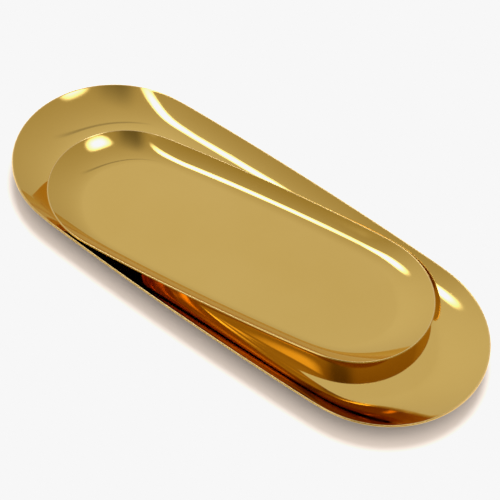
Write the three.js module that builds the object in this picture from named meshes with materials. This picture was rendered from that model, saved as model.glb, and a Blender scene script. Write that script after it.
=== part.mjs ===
// A nested pair of long oval brass trays with low flared walls. Each tray is pressed from one
// sheet. The small tray lies in the large one, turned until its rim comes up against both of the
// large tray's long walls, and lifts straight out.
//
// Units are millimetres, +Z is up, and +X runs along the large tray. The origin is the middle of
// the large tray's underside.

import * as THREE from "three";

// The sheet both trays are pressed from, and the clearance between them where they touch.
const SHEET = 1;
const REST_GAP = 0.3;

// The mouth is the oval just inside the rim: two round ends and two long sides that bulge
// slightly, with their joints eased over this length. The wall reaches in from the mouth by its
// side run along the long sides and by its end run at the tips. Depth is from the floor's top to
// the rim.
const OUTLINE_EASE = 6;

const LARGE = {
  name: "large_tray",
  mouth: { length: 303.8, width: 122.4, endRadius: 59.2 },
  sideRun: 19,
  endRun: 27.3,
  depth: 11.4,
};
const SMALL = {
  name: "small_tray",
  mouth: { length: 232.4, width: 94.4, endRadius: 45.2 },
  sideRun: 13.4,
  endRun: 20.4,
  depth: 9,
};

// The wall's height goes with a power of the way out from the floor, so it leaves the floor
// smoothly: a tighter curve along the sides, and a flatter flare at the tips. Run and power
// begin to change at this part of the way from the middle to a tip.
const SIDE_POWER = 1.81;
const END_POWER = 1.5;
const BLEND_START = 0.49;

// Where the small tray lies in the large one.
const SMALL_SHIFT = -4.3;
const SMALL_TURN = THREE.MathUtils.degToRad(9.7);

// Facets: steps round each tray and up the wall, and the spacing the outline is eased at. The
// easing weighs points out to this many times its length.
const AROUND_STEPS = 96;
const WALL_STEPS = 7;
const FINE_STEP = 0.5;
const EASE_REACH = 3;

// Nearly evenly spaced points round the four arcs, anticlockwise from the right tip.
function sharpPoints({ length, width, endRadius }) {
  const endX = length / 2 - endRadius;
  const rise = width / 2 - endRadius;
  const sideRadius = (endX ** 2 / rise + endRadius + width / 2) / 2;
  const sideY = width / 2 - sideRadius;
  const joint = Math.atan2(-sideY, endX);
  const arcs = [
    { x: endX, y: 0, radius: endRadius, from: 0, to: joint },
    { x: 0, y: sideY, radius: sideRadius, from: joint, to: Math.PI - joint },
    { x: -endX, y: 0, radius: endRadius, from: Math.PI - joint, to: Math.PI + joint },
    { x: 0, y: -sideY, radius: sideRadius, from: Math.PI + joint, to: 2 * Math.PI - joint },
    { x: endX, y: 0, radius: endRadius, from: 2 * Math.PI - joint, to: 2 * Math.PI },
  ];
  const points = [];
  for (const arc of arcs) {
    const steps = Math.round((arc.radius * (arc.to - arc.from)) / FINE_STEP);
    for (let i = 0; i < steps; i += 1) {
      const angle = arc.from + ((arc.to - arc.from) * i) / steps;
      const out = new THREE.Vector2(Math.cos(angle), Math.sin(angle));
      points.push(new THREE.Vector2(arc.x, arc.y).addScaledVector(out, arc.radius));
    }
  }
  return points;
}

// The points of the eased oval, each with its outward direction.
function ovalPoints(mouth) {
  const sharp = sharpPoints(mouth);
  const count = sharp.length;
  const reach = Math.round((EASE_REACH * OUTLINE_EASE) / FINE_STEP);
  const eased = sharp.map((_, i) => {
    const total = new THREE.Vector2();
    for (let k = -reach; k <= reach; k += 1) {
      const weight = Math.exp(-(((k * FINE_STEP) / OUTLINE_EASE) ** 2) / 2);
      total.addScaledVector(sharp[(i + k + count) % count], weight);
    }
    return total;
  });
  const stretch = new THREE.Vector2(
    mouth.length / 2 / Math.max(...eased.map((point) => point.x)),
    mouth.width / 2 / Math.max(...eased.map((point) => point.y)),
  );
  eased.forEach((point) => point.multiply(stretch));
  const points = [];
  for (let step = 0; step < AROUND_STEPS; step += 1) {
    const i = Math.round((step * count) / AROUND_STEPS);
    const along = eased[(i + 1) % count].clone().sub(eased[(i - 1 + count) % count]);
    points.push({ at: eased[i], out: new THREE.Vector2(along.y, -along.x).normalize() });
  }
  return points;
}

// One station of the wall: how far out from the floor, as a part of the run, gives the inside
// point and the outside point one sheet below it, square to the wall.
function wallStation({ mouth, sideRun, endRun, depth }, { at, out }, fraction) {
  const tip = mouth.length / 2;
  const endwise = THREE.MathUtils.smoothstep(Math.abs(at.x) / tip, BLEND_START, 1);
  const run = THREE.MathUtils.lerp(sideRun, endRun, endwise);
  const power = THREE.MathUtils.lerp(SIDE_POWER, END_POWER, endwise);
  const plan = at.clone().addScaledVector(out, run * (fraction - 1));
  const height = SHEET + depth * fraction ** power;
  const slope = Math.atan((depth * power * fraction ** (power - 1)) / run);
  const under = plan.clone().addScaledVector(out, SHEET * Math.sin(slope));
  return {
    inside: new THREE.Vector3(plan.x, plan.y, height),
    outside: new THREE.Vector3(under.x, under.y, height - SHEET * Math.cos(slope)),
  };
}

// One tray as a closed body: rings from the middle of the floor out over the inside, across the
// rim's edge, down the outside and back to the middle of the underside.
function trayGeometry(tray) {
  const outline = ovalPoints(tray.mouth);
  const inside = [];
  const outside = [];
  for (let step = 0; step <= WALL_STEPS; step += 1) {
    const stations = outline.map((point) => wallStation(tray, point, step / WALL_STEPS));
    inside.push(stations.map((station) => station.inside));
    outside.push(stations.map((station) => station.outside));
  }
  const rings = [...inside, ...outside.reverse()];
  const around = rings[0].length;
  const positions = rings.flat().flatMap((point) => point.toArray());
  const floorMiddle = rings.length * around;
  const baseMiddle = floorMiddle + 1;
  positions.push(0, 0, SHEET, 0, 0, 0);
  const faces = [];
  for (let i = 0; i < around; i += 1) {
    const next = (i + 1) % around;
    faces.push(floorMiddle, i, next);
    for (let ring = 0; ring + 1 < rings.length; ring += 1) {
      const low = ring * around;
      const high = low + around;
      faces.push(low + i, high + i, high + next, low + i, high + next, low + next);
    }
    const last = (rings.length - 1) * around;
    faces.push(last + i, baseMiddle, last + next);
  }
  const geometry = new THREE.BufferGeometry();
  geometry.setAttribute("position", new THREE.Float32BufferAttribute(positions, 3));
  geometry.setIndex(faces);
  geometry.computeVertexNormals();
  return geometry;
}

function trayMesh(tray) {
  const brass = new THREE.MeshStandardMaterial({ color: 0xc8a45c, roughness: 0.08, metalness: 1 });
  const mesh = new THREE.Mesh(trayGeometry(tray), brass);
  mesh.name = tray.name;
  return mesh;
}

const largeTray = trayMesh(LARGE);

const smallTray = trayMesh(SMALL);
smallTray.position.set(SMALL_SHIFT, 0, SHEET + REST_GAP);
smallTray.rotation.z = SMALL_TURN;

const trays = new THREE.Group();
trays.add(largeTray, smallTray);

export default trays;
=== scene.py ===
import math

import bpy
from mathutils import Matrix, Quaternion, Vector


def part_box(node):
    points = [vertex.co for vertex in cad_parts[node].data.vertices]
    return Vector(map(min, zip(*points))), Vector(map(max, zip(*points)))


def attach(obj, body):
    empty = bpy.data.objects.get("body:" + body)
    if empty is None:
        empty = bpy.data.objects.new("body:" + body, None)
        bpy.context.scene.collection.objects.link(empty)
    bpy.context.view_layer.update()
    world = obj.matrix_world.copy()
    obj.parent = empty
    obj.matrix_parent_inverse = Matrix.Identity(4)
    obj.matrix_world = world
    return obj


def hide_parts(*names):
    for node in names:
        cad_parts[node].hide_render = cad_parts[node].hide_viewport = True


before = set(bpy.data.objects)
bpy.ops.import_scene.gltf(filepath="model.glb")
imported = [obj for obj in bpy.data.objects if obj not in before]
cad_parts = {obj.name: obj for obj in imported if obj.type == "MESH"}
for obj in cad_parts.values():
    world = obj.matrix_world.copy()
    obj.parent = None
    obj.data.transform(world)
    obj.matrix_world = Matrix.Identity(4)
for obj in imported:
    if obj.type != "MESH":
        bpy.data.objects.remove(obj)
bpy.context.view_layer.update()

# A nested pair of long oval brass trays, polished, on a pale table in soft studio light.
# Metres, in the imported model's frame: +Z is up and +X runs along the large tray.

MM = 0.001
UP = Vector((0.0, 0.0, 1.0))

# ---------------------------------------------------------------- driving dimensions

SHEET = 1.0 * MM

# Mouth: the oval just inside the rim. Run: how far the wall reaches in from the mouth, along the
# long sides and at the tips.
LARGE = {
    "name": "large_tray",
    "mouth": {"length": 303.8 * MM, "width": 122.4 * MM, "end_radius": 59.2 * MM},
    "side_run": 19.0 * MM,
    "end_run": 27.3 * MM,
    "turn": 0.0,
}
SMALL = {
    "name": "small_tray",
    "mouth": {"length": 232.4 * MM, "width": 94.4 * MM, "end_radius": 45.2 * MM},
    "side_run": 13.4 * MM,
    "end_run": 20.4 * MM,
    "turn": math.radians(9.7),
}

# The oval's four arcs are eased into one another over this length. The wall's height goes with a
# power of the way out from the floor. Run and power begin to change from their side values to
# their tip values at this part of the way from the middle to a tip.
OUTLINE_EASE = 6.0 * MM
SIDE_POWER = 1.81
END_POWER = 1.5
BLEND_START = 0.49

# ---------------------------------------------------------------- mesh detail

# The outline is eased at this spacing, weighing points out to this many times its length.
FINE_STEP = 0.5 * MM
EASE_REACH = 3

# Steps round each tray and up its wall, and rings across its floor.
AROUND_STEPS = 480
WALL_STEPS = 44
FLOOR_RINGS = 10

# The cut edge is rounded over this part of the sheet on each side.
EDGE_ROUND = 0.3
EDGE_STEPS = 4


def sharp_oval(length, width, end_radius):
    """Nearly evenly spaced points round four arcs, anticlockwise from the right tip."""
    end_x = length / 2 - end_radius
    rise = width / 2 - end_radius
    side_radius = (end_x ** 2 / rise + end_radius + width / 2) / 2
    side_y = width / 2 - side_radius
    joint = math.atan2(-side_y, end_x)
    arcs = (
        (end_x, 0.0, end_radius, 0.0, joint),
        (0.0, side_y, side_radius, joint, math.pi - joint),
        (-end_x, 0.0, end_radius, math.pi - joint, math.pi + joint),
        (0.0, -side_y, side_radius, math.pi + joint, 2 * math.pi - joint),
        (end_x, 0.0, end_radius, 2 * math.pi - joint, 2 * math.pi),
    )
    points = []
    for x, y, radius, start, stop in arcs:
        steps = round(radius * (stop - start) / FINE_STEP)
        for i in range(steps):
            angle = start + (stop - start) * i / steps
            points.append(Vector((x + radius * math.cos(angle), y + radius * math.sin(angle), 0.0)))
    return points


def oval(length, width, end_radius):
    """Points round the eased oval, each with its outward direction."""
    sharp = sharp_oval(length, width, end_radius)
    count = len(sharp)
    reach = round(EASE_REACH * OUTLINE_EASE / FINE_STEP)
    steps = range(-reach, reach + 1)
    weights = [math.exp(-((k * FINE_STEP / OUTLINE_EASE) ** 2) / 2) for k in steps]
    eased = []
    for i in range(count):
        total = Vector((0.0, 0.0, 0.0))
        for k, weight in enumerate(weights):
            total += sharp[(i + k - reach) % count] * weight
        eased.append(total)
    stretch = Vector((length / 2 / max(p.x for p in eased), width / 2 / max(p.y for p in eased), 0.0))
    eased = [p * stretch for p in eased]
    points = []
    for step in range(AROUND_STEPS):
        i = round(step * count / AROUND_STEPS)
        along = eased[(i + 1) % count] - eased[i - 1]
        points.append((eased[i], Vector((along.y, -along.x, 0.0)).normalized()))
    return points


def section(run, depth, power):
    """The wall's section as (share of the way out, height, slope), from floor to rim."""
    stations = []
    for step in range(WALL_STEPS + 1):
        t = step / WALL_STEPS
        height = depth * t ** power
        slope = math.atan(depth * power * t ** (power - 1) / run)
        stations.append((t, height, slope))
    return stations


def ease(t):
    """Smooth from 0 to 1, flat at both ends."""
    t = min(max(t, 0.0), 1.0)
    return t * t * (3 - 2 * t)


def cut_edge(rim, along, across):
    """Two rounded corners from the inside face's rim to the outside face's."""
    radius = SHEET * EDGE_ROUND
    points = []
    for middle, first in ((radius, math.pi), (SHEET - radius, math.pi / 2)):
        for step in range(EDGE_STEPS + 1):
            angle = first - math.pi / 2 * step / EDGE_STEPS
            outward = across * math.cos(angle) + along * math.sin(angle)
            points.append(rim + across * middle + (outward - along) * radius)
    return points


def tray_column(low, high, stations):
    """One line over the sheet: floor and wall inside, cut edge, wall and base outside."""
    out = (high - low).normalized()
    inside = []
    outside = []
    for share, height, slope in stations:
        point = low.lerp(high, share) + Vector((0, 0, SHEET + height))
        along = out * math.cos(slope) + UP * math.sin(slope)
        across = out * math.sin(slope) - UP * math.cos(slope)
        inside.append(point)
        outside.append(point + across * SHEET)
    rings = range(1, FLOOR_RINGS)
    column = [low * (ring / FLOOR_RINGS) + UP * SHEET for ring in rings]
    column += inside[:-1]
    column += cut_edge(inside[-1], along, across)
    column += outside[-2::-1]
    column += [low * (ring / FLOOR_RINGS) for ring in reversed(rings)]
    return column


def tray_mesh(tray, depth, place):
    """A pressed tray as one closed body."""
    columns = []
    tip = tray["mouth"]["length"] / 2
    for high, out in oval(**tray["mouth"]):
        endwise = ease((abs(high.x) / tip - BLEND_START) / (1 - BLEND_START))
        run = tray["side_run"] + (tray["end_run"] - tray["side_run"]) * endwise
        power = SIDE_POWER + (END_POWER - SIDE_POWER) * endwise
        columns.append(tray_column(high - out * run, high, section(run, depth, power)))
    around = len(columns)
    length = len(columns[0])
    vertices = [point for column in columns for point in column]
    top = len(vertices)
    vertices += [UP * SHEET, UP * 0.0]
    faces = []
    for i in range(around):
        here = i * length
        beyond = (i + 1) % around * length
        faces.append((top, here, beyond))
        for ring in range(length - 1):
            faces.append((here + ring, here + ring + 1, beyond + ring + 1, beyond + ring))
        faces.append((here + length - 1, top + 1, beyond + length - 1))
    mesh = bpy.data.meshes.new(tray["name"] + "_sheet")
    mesh.from_pydata(vertices, [], faces)
    mesh.validate()
    mesh.transform(place)
    mesh.shade_smooth()
    return mesh


# ---------------------------------------------------------------- brass

# Colours of the polished sheet, and the paler colour painted on its rim all round as a painted
# highlight.
BRASS_DEEP = (0.81, 0.585, 0.18)
BRASS_PALE = (0.83, 0.605, 0.195)
# The rim's paler colour is a painted highlight for the bright line along the cut edge.
BRASS_RIM_HIGHLIGHT = (0.86, 0.66, 0.32)

# Roughness of the polish from its clearest to its most smeared, and what wear and scratches add.
POLISH = (0.035, 0.075)
RIM_ROUGHNESS = 0.22
SCRATCH_ROUGHNESS = 0.05

# Real heights: how far down the rim the painted highlight colour and the extra roughness reach, the
# sheet's waviness and a scratch's depth.
RIM_BAND_DEPTH = 0.4 * MM
WAVE_HEIGHT = 0.06 * MM
SCRATCH_DEPTH = 0.001 * MM

# Noise: features per metre and octaves of detail. Scratches are drawn out by their stretch.
TONE_NOISE = {"scale": 18.0, "detail": 3.0}
SMEAR_NOISE = {"scale": 55.0, "detail": 5.0}
WAVE_NOISE = {"scale": 26.0, "detail": 1.0}
RIM_PATCH_NOISE = {"scale": 900.0, "detail": 4.0}
ALONG_NOISE = {"scale": 1.0, "detail": 2.0, "stretch": (25.0, 2200.0, 2200.0)}
CROSS_NOISE = {"scale": 1.0, "detail": 2.0, "stretch": (1800.0, 60.0, 1800.0)}

# Noise levels between which each effect sets in.
TONE_LEVELS = (0.35, 0.65)
SMEAR_LEVELS = (0.3, 0.7)
RIM_PATCH_LEVELS = (0.3, 0.5)
ALONG_LEVELS = (0.66, 0.72)
CROSS_LEVELS = (0.68, 0.74)

# The rim shows at least this share of its painted highlight colour and extra roughness everywhere.
LEAST_RIM_BAND = 0.5


def node(tree, kind, **inputs):
    """A new node with its inputs set."""
    made = tree.nodes.new(kind)
    for name, value in inputs.items():
        made.inputs[name.replace("_", " ")].default_value = value
    return made


def maths(tree, operation, *values):
    """A maths node on numbers, given as floats, and sockets."""
    made = tree.nodes.new("ShaderNodeMath")
    made.operation = operation
    for i, value in enumerate(values):
        if isinstance(value, float):
            made.inputs[i].default_value = value
        else:
            tree.links.new(value, made.inputs[i])
    return made.outputs[0]


def vectors(tree, operation, first, second=None, scale=None):
    """A vector maths node on a socket, with a fixed direction or a scaling socket."""
    made = tree.nodes.new("ShaderNodeVectorMath")
    made.operation = operation
    tree.links.new(first, made.inputs[0])
    if second is not None:
        made.inputs[1].default_value = second
    if scale is not None:
        tree.links.new(scale, made.inputs["Scale"])
    return made.outputs["Value" if operation == "DOT_PRODUCT" else "Vector"]


def ramp(tree, fac, stops):
    """A colour ramp through (position, colour) stops."""
    made = tree.nodes.new("ShaderNodeValToRGB")
    elements = made.color_ramp.elements
    for element, (position, colour) in zip(elements, stops):
        element.position = position
        element.color = (*colour, 1.0)
    tree.links.new(fac, made.inputs["Fac"])
    return made.outputs["Color"]


def mapped(tree, value, levels, results=(0.0, 1.0)):
    """Takes the span between two levels to the span between two results, and clamps it."""
    low, high = levels
    least, most = results
    made = node(tree, "ShaderNodeMapRange", From_Min=low, From_Max=high, To_Min=least, To_Max=most)
    tree.links.new(value, made.inputs["Value"])
    return made.outputs["Result"]


def noise(tree, place, scale, detail, stretch=(1.0, 1.0, 1.0)):
    """Noise over the object, in features per metre, drawn out by the stretch."""
    drawn = node(tree, "ShaderNodeMapping", Scale=stretch)
    tree.links.new(place, drawn.inputs["Vector"])
    made = node(tree, "ShaderNodeTexNoise", Scale=scale, Detail=detail)
    tree.links.new(drawn.outputs["Vector"], made.inputs["Vector"])
    return made.outputs["Fac"]


def brass_material(name, rim_height):
    """Polished brass: uneven tone, smears, fine scratches, and a rougher rim painted paler all round as
    a painted highlight.
    """
    material = bpy.data.materials.new(name)
    material.use_nodes = True
    tree = material.node_tree
    link = tree.links.new
    shader = tree.nodes["Principled BSDF"]
    shader.inputs["Metallic"].default_value = 1.0
    place = tree.nodes.new("ShaderNodeTexCoord").outputs["Object"]
    parts = tree.nodes.new("ShaderNodeSeparateXYZ")
    link(place, parts.inputs[0])

    stops = zip(TONE_LEVELS, (BRASS_DEEP, BRASS_PALE))
    tone = ramp(tree, noise(tree, place, **TONE_NOISE), stops)
    # The top of the rim is painted paler in patches, at half strength or more all round, as a painted
    # highlight. The same band is also made rougher.
    rim_patches = mapped(tree, noise(tree, place, **RIM_PATCH_NOISE), RIM_PATCH_LEVELS, (LEAST_RIM_BAND, 1.0))
    rim = mapped(tree, parts.outputs["Z"], (rim_height - RIM_BAND_DEPTH, rim_height - RIM_BAND_DEPTH / 2))
    rim_wear_and_highlight = maths(tree, "MULTIPLY", rim, rim_patches)
    colour = tree.nodes.new("ShaderNodeMix")
    colour.data_type = "RGBA"
    link(rim_wear_and_highlight, colour.inputs["Factor"])
    link(tone, colour.inputs["A"])
    colour.inputs["B"].default_value = (*BRASS_RIM_HIGHLIGHT, 1.0)
    link(colour.outputs["Result"], shader.inputs["Base Color"])

    along = mapped(tree, noise(tree, place, **ALONG_NOISE), ALONG_LEVELS)
    cross = mapped(tree, noise(tree, place, **CROSS_NOISE), CROSS_LEVELS)
    scratches = maths(tree, "MAXIMUM", along, cross)
    gloss = mapped(tree, noise(tree, place, **SMEAR_NOISE), SMEAR_LEVELS, POLISH)
    gloss = maths(tree, "ADD", gloss, maths(tree, "MULTIPLY", scratches, SCRATCH_ROUGHNESS))
    gloss = maths(tree, "ADD", gloss, maths(tree, "MULTIPLY", rim_wear_and_highlight, RIM_ROUGHNESS))
    link(gloss, shader.inputs["Roughness"])

    waves = node(tree, "ShaderNodeBump", Strength=1.0, Distance=WAVE_HEIGHT)
    link(noise(tree, place, **WAVE_NOISE), waves.inputs["Height"])
    cuts = node(tree, "ShaderNodeBump", Strength=1.0, Distance=SCRATCH_DEPTH)
    cuts.invert = True
    link(scratches, cuts.inputs["Height"])
    link(waves.outputs["Normal"], cuts.inputs["Normal"])
    link(cuts.outputs["Normal"], shader.inputs["Normal"])
    return material


def build_tray(tray):
    """Stands for the CAD tray of the same name: its middle, base and depth come from its box."""
    low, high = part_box(tray["name"])
    depth = high.z - low.z - SHEET
    middle = Vector(((low.x + high.x) / 2, (low.y + high.y) / 2, low.z))
    place = Matrix.Translation(middle) @ Matrix.Rotation(tray["turn"], 4, "Z")
    mesh = tray_mesh(tray, depth, place)
    made = bpy.data.objects.new(tray["name"] + "_brass", mesh)
    bpy.context.scene.collection.objects.link(made)
    mesh.materials.append(brass_material(tray["name"] + "_polish", high.z))
    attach(made, tray["name"])
    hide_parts(tray["name"])


build_tray(LARGE)
build_tray(SMALL)

# ---------------------------------------------------------------- camera

# Angles in radians, the distance in metres, and the lens and sensor in millimetres.
CAMERA_AZIMUTH = math.radians(33.0)
CAMERA_ELEVATION = math.radians(51.0)
CAMERA_ROLL = 0.115
CAMERA_DISTANCE = 1.0107
CAMERA_LENS = 132.1
CAMERA_SENSOR = 36.0

# The camera aims at the level of the large rim, a little off the tray's middle.
AIM = Vector((5.1 * MM, -1.7 * MM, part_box("large_tray")[1].z))

AWAY = Vector((-math.sin(CAMERA_AZIMUTH), math.cos(CAMERA_AZIMUTH), 0.0))
RIGHT = Vector((math.cos(CAMERA_AZIMUTH), math.sin(CAMERA_AZIMUTH), 0.0))

camera = bpy.data.objects.new("camera", bpy.data.cameras.new("camera"))
bpy.context.scene.collection.objects.link(camera)
camera.data.sensor_width = CAMERA_SENSOR
camera.data.lens = CAMERA_LENS
back = UP * math.sin(CAMERA_ELEVATION) - AWAY * math.cos(CAMERA_ELEVATION)
camera.location = AIM + back * CAMERA_DISTANCE
camera.rotation_mode = "QUATERNION"
turned = (-back).to_track_quat("-Z", "Y")
camera.rotation_quaternion = turned @ Quaternion(UP, CAMERA_ROLL)
bpy.context.scene.camera = camera

# ---------------------------------------------------------------- table, room and lights

FLOOR_SIZE = 12.0
PAPER = 0.86

# Anything brighter than this shows as the same pale grey.
WHITE = 0.93

# What lights the table: a slightly warm sky, and a soft sun on the far side.
TABLE_SKY = (1.20, 1.02, 0.88)
TABLE_SUN = 1.9
TABLE_SUN_ELEVATION = math.radians(58.0)
TABLE_SUN_SPREAD = math.radians(25.0)

floor_mesh = bpy.data.meshes.new("table")
half = FLOOR_SIZE / 2
floor_mesh.from_pydata(
    [(-half, -half, 0), (half, -half, 0), (half, half, 0), (-half, half, 0)], [], [(0, 1, 2, 3)]
)
table = bpy.data.objects.new("table", floor_mesh)
bpy.context.scene.collection.objects.link(table)
paper = bpy.data.materials.new("paper")
paper.use_nodes = True
shader = paper.node_tree.nodes["Principled BSDF"]
shader.inputs["Base Color"].default_value = (PAPER, PAPER, PAPER, 1.0)
shader.inputs["Roughness"].default_value = 1.0
shader.inputs["Specular IOR Level"].default_value = 0.0
floor_mesh.materials.append(paper)

# The softboxes stand round the trays at one distance, with edges that fade and rounded corners.
LIGHT_DISTANCE = 0.7
SOFT_EDGE = 0.8
ROUNDING = 2.5

# The room is pale on the far, upper left side and a dim warm brown on the rest.
ROOM_PALE = (0.70, 0.655, 0.595)
ROOM_DIM = (0.36, 0.27, 0.08)
LEFTWARD = 0.6

# Two dark parts take away a share of the room's light. They are placed as a softbox is.
PHOTOGRAPHER = {"bearing": 180, "elevation": 45, "lean": -15, "width": 0.35, "height": 1.2, "dark": 0.6}
CEILING_GAP = {"bearing": 30, "elevation": 72, "lean": 55, "width": 0.6, "height": 0.06, "dark": 0.4}

# A look at right angles to a dark part, or away from it, counts as this much towards it, which
# puts it far outside the part.
LEAST_AHEAD = 0.001

# How often light bounces between the polished walls before it is dropped.
GLOSSY_BOUNCES = 9
ALL_BOUNCES = 11


def axes(bearing, elevation, lean):
    """Straight towards a light, and the light's own across and upward directions."""
    turn, rise, tilt = (math.radians(angle) for angle in (bearing, elevation, lean))
    level = AWAY * math.cos(turn) + RIGHT * math.sin(turn)
    towards = level * math.cos(rise) + UP * math.sin(rise)
    upward = (UP - towards * UP.dot(towards)).normalized()
    across = upward.cross(towards)
    return (
        towards,
        across * math.cos(tilt) + upward * math.sin(tilt),
        upward * math.cos(tilt) - across * math.sin(tilt),
    )


def fading(tree, offset):
    """1 in the middle, fading to 0 at half a width away, from an offset in widths."""
    made = tree.nodes.new("ShaderNodeMapRange")
    made.interpolation_type = "SMOOTHSTEP"
    made.inputs["From Min"].default_value = 0.5
    made.inputs["From Max"].default_value = 0.5 - SOFT_EDGE / 2
    tree.links.new(maths(tree, "ABSOLUTE", offset), made.inputs["Value"])
    return made.outputs["Result"]


def softbox(name, bearing, elevation, lean, width, height, radiance):
    """A soft light that only the brass shows. The bearing runs clockwise from straight away, and
    the lean clockwise as the trays see it, in degrees. The sizes are in metres."""
    towards, across, upward = axes(bearing, elevation, lean)
    light = bpy.data.lights.new(name, "AREA")
    light.shape = "RECTANGLE"
    light.size = width
    light.size_y = height
    light.energy = radiance * width * height * math.pi
    light.use_nodes = True
    tree = light.node_tree
    spot = tree.nodes.new("ShaderNodeNewGeometry")
    parts = tree.nodes.new("ShaderNodeSeparateXYZ")
    tree.links.new(spot.outputs["Parametric"], parts.inputs[0])
    offsets = [maths(tree, "SUBTRACT", parts.outputs[axis], 0.5) for axis in range(2)]
    sizes = [maths(tree, "ABSOLUTE", offset) for offset in offsets]
    powers = [maths(tree, "POWER", size, ROUNDING) for size in sizes]
    away = maths(tree, "POWER", maths(tree, "ADD", *powers), 1 / ROUNDING)
    tree.links.new(fading(tree, away), tree.nodes["Emission"].inputs["Strength"])
    made = bpy.data.objects.new(name, light)
    bpy.context.scene.collection.objects.link(made)
    turned = Matrix((across, upward, towards)).transposed().to_4x4()
    made.matrix_world = Matrix.Translation(AIM + towards * LIGHT_DISTANCE) @ turned
    made.visible_camera = False
    made.visible_diffuse = False


def table_sun():
    """A soft light from the far side on the table. The brass doesn't show it."""
    light = bpy.data.lights.new("table_sun", "SUN")
    light.energy = TABLE_SUN
    light.angle = TABLE_SUN_SPREAD
    made = bpy.data.objects.new("table_sun", light)
    bpy.context.scene.collection.objects.link(made)
    towards = AWAY * math.cos(TABLE_SUN_ELEVATION) + UP * math.sin(TABLE_SUN_ELEVATION)
    made.rotation_mode = "QUATERNION"
    made.rotation_quaternion = towards.to_track_quat("Z", "Y")
    made.visible_camera = False
    made.visible_glossy = False


table_sun()
softbox("left_window", bearing=-105, elevation=60, lean=10, width=0.6, height=0.15, radiance=6.0)
softbox("right_window", bearing=100, elevation=70, lean=-30, width=0.3, height=0.15, radiance=5.0)
softbox("right_low", bearing=100, elevation=25, lean=-80, width=0.2, height=0.15, radiance=2.0)
softbox("behind_left", bearing=-155, elevation=35, lean=-80, width=0.4, height=0.3, radiance=1.0)


def dark_part(tree, look, tone, bearing, elevation, lean, width, height, dark):
    """Takes away a share of the room's light over a soft rectangle."""
    towards, across, upward = axes(bearing, elevation, lean)
    ahead = maths(tree, "MAXIMUM", vectors(tree, "DOT_PRODUCT", look, towards), LEAST_AHEAD)
    part = dark
    for direction, size in ((across, width), (upward, height)):
        offset = maths(tree, "DIVIDE", vectors(tree, "DOT_PRODUCT", look, direction), ahead)
        share = fading(tree, maths(tree, "MULTIPLY", offset, LIGHT_DISTANCE / size))
        part = maths(tree, "MULTIPLY", share, part)
    return vectors(tree, "SCALE", tone, scale=maths(tree, "SUBTRACT", 1.0, part))


def room():
    """The world: the brass sees a room, and everything else sees the table's sky."""
    world = bpy.data.worlds.new("room")
    bpy.context.scene.world = world
    world.use_nodes = True
    tree = world.node_tree
    look = tree.nodes.new("ShaderNodeTexCoord").outputs["Generated"]
    pale_side = (AWAY + UP - RIGHT * LEFTWARD).normalized()
    paleness = mapped(tree, vectors(tree, "DOT_PRODUCT", look, pale_side), (0.0, 1.0))
    tone = ramp(tree, paleness, ((0.0, ROOM_DIM), (1.0, ROOM_PALE)))
    tone = dark_part(tree, look, tone, **PHOTOGRAPHER)
    tone = dark_part(tree, look, tone, **CEILING_GAP)
    ray = tree.nodes.new("ShaderNodeLightPath")
    choice = tree.nodes.new("ShaderNodeMix")
    choice.data_type = "RGBA"
    choice.inputs["A"].default_value = (*TABLE_SKY, 1.0)
    tree.links.new(ray.outputs["Is Glossy Ray"], choice.inputs["Factor"])
    tree.links.new(tone, choice.inputs["B"])
    tree.links.new(choice.outputs["Result"], tree.nodes["Background"].inputs["Color"])


room()

settings = bpy.context.scene.view_settings
settings.view_transform = "Standard"
settings.use_curve_mapping = True
settings.curve_mapping.extend = "HORIZONTAL"
settings.curve_mapping.curves[3].points[-1].location = (WHITE, WHITE)
settings.curve_mapping.update()
bpy.context.scene.cycles.glossy_bounces = GLOSSY_BOUNCES
bpy.context.scene.cycles.max_bounces = ALL_BOUNCES
bpy.context.scene.cycles.caustics_reflective = False
